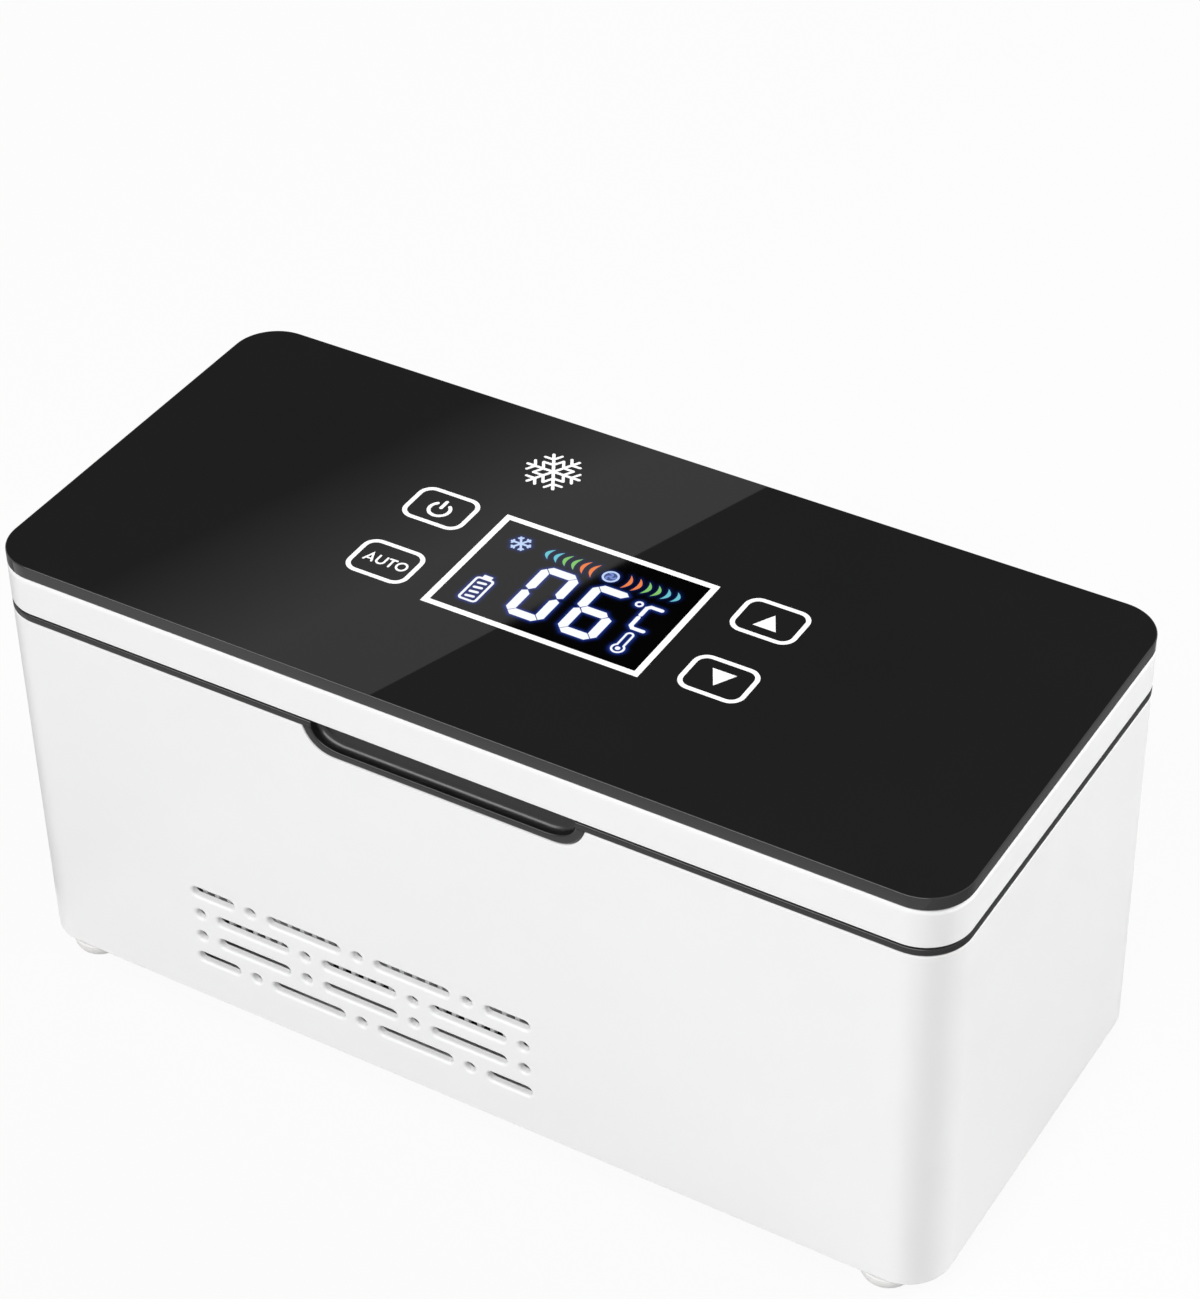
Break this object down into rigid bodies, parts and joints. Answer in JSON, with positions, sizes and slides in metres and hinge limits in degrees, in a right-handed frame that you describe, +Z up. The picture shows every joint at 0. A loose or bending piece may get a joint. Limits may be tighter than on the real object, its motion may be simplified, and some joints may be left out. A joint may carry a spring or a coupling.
{
  "type": "insulin cooling case",
  "caption": "Small white box with a thermoelectric cooler under a metal tray for insulin pens, a hinged insulated lid and a black glass touch panel with a temperature display.",
  "frame": {"origin": "on the table, under the middle of the case", "axes": "+X along the length, to the right seen from the front; +Y to the hinge at the back; +Z up"},
  "size_m": [0.204, 0.092, 0.0994],
  "materials": {
    "white_plastic": "satin white moulding",
    "black_plastic": "satin black moulding",
    "black_glass": "polished, black behind",
    "foot_rubber": "matt whitish",
    "gasket_rubber": "matt black",
    "grey_panel": "fine grain",
    "tray_aluminium": "brushed",
    "steel": "zinc plated",
    "foam": "open cell foam",
    "ceramic": "unglazed white",
    "circuit_board": "green solder mask",
    "cell_wrap": "shrink wrap",
    "copper": "bright"
  },
  "bodies": {
    "case": {"body_shell": "white_plastic", "base_cover": "white_plastic", "top_frame": "black_plastic", "cold_tray": "tray_aluminium", "foam_block": "foam", "cold_block": "tray_aluminium", "peltier_module": "ceramic", "heat_sink": "tray_aluminium", "fan_frame": "black_plastic", "battery_cradle": "black_plastic", "battery_cell_1": "cell_wrap", "battery_cell_2": "cell_wrap", "battery_cell_3": "cell_wrap", "main_board": "circuit_board", "dc_socket": "black_plastic", "temperature_probe": "steel", "hinge_rod": "steel", "foot_front_left": "foot_rubber", "foot_front_right": "foot_rubber", "foot_rear_left": "foot_rubber", "foot_rear_right": "foot_rubber", "base_screw_front_left": "steel", "base_screw_front_right": "steel", "base_screw_rear_left": "steel", "base_screw_rear_right": "steel", "clamp_screw_left": "steel", "clamp_screw_right": "steel", "fan_screw_front_left": "steel", "fan_screw_front_right": "steel", "fan_screw_rear_left": "steel", "fan_screw_rear_right": "steel", "board_screw_front_left": "steel", "board_screw_front_right": "steel", "board_screw_rear_left": "steel", "board_screw_rear_right": "steel"},
    "lid": {"lid_shell": "white_plastic", "lid_liner": "white_plastic", "lid_gasket": "gasket_rubber", "lid_inner_panel": "grey_panel", "lid_foam": "foam", "touch_board": "circuit_board", "display_module": "black_plastic", "glass_panel": "black_glass", "key_pad_power": "copper", "key_pad_auto": "copper", "key_pad_up": "copper", "key_pad_down": "copper", "lid_screw_front_left": "steel", "lid_screw_front_right": "steel", "lid_screw_rear_left": "steel", "lid_screw_rear_right": "steel"},
    "fan": {"fan_rotor": "black_plastic"}
  },
  "joints": [
    {"name": "lid_hinge", "type": "hinge", "parent": "case", "child": "lid", "pos_m": [0.002, 0.0422, 0.083], "axis": [-1, 0, 0], "range_deg": [0, 100]},
    {"name": "fan_spin", "type": "hinge", "parent": "case", "child": "fan", "pos_m": [-0.022, 0, 0.015], "axis": [0, 0, 1], "continuous": true}
  ]
}
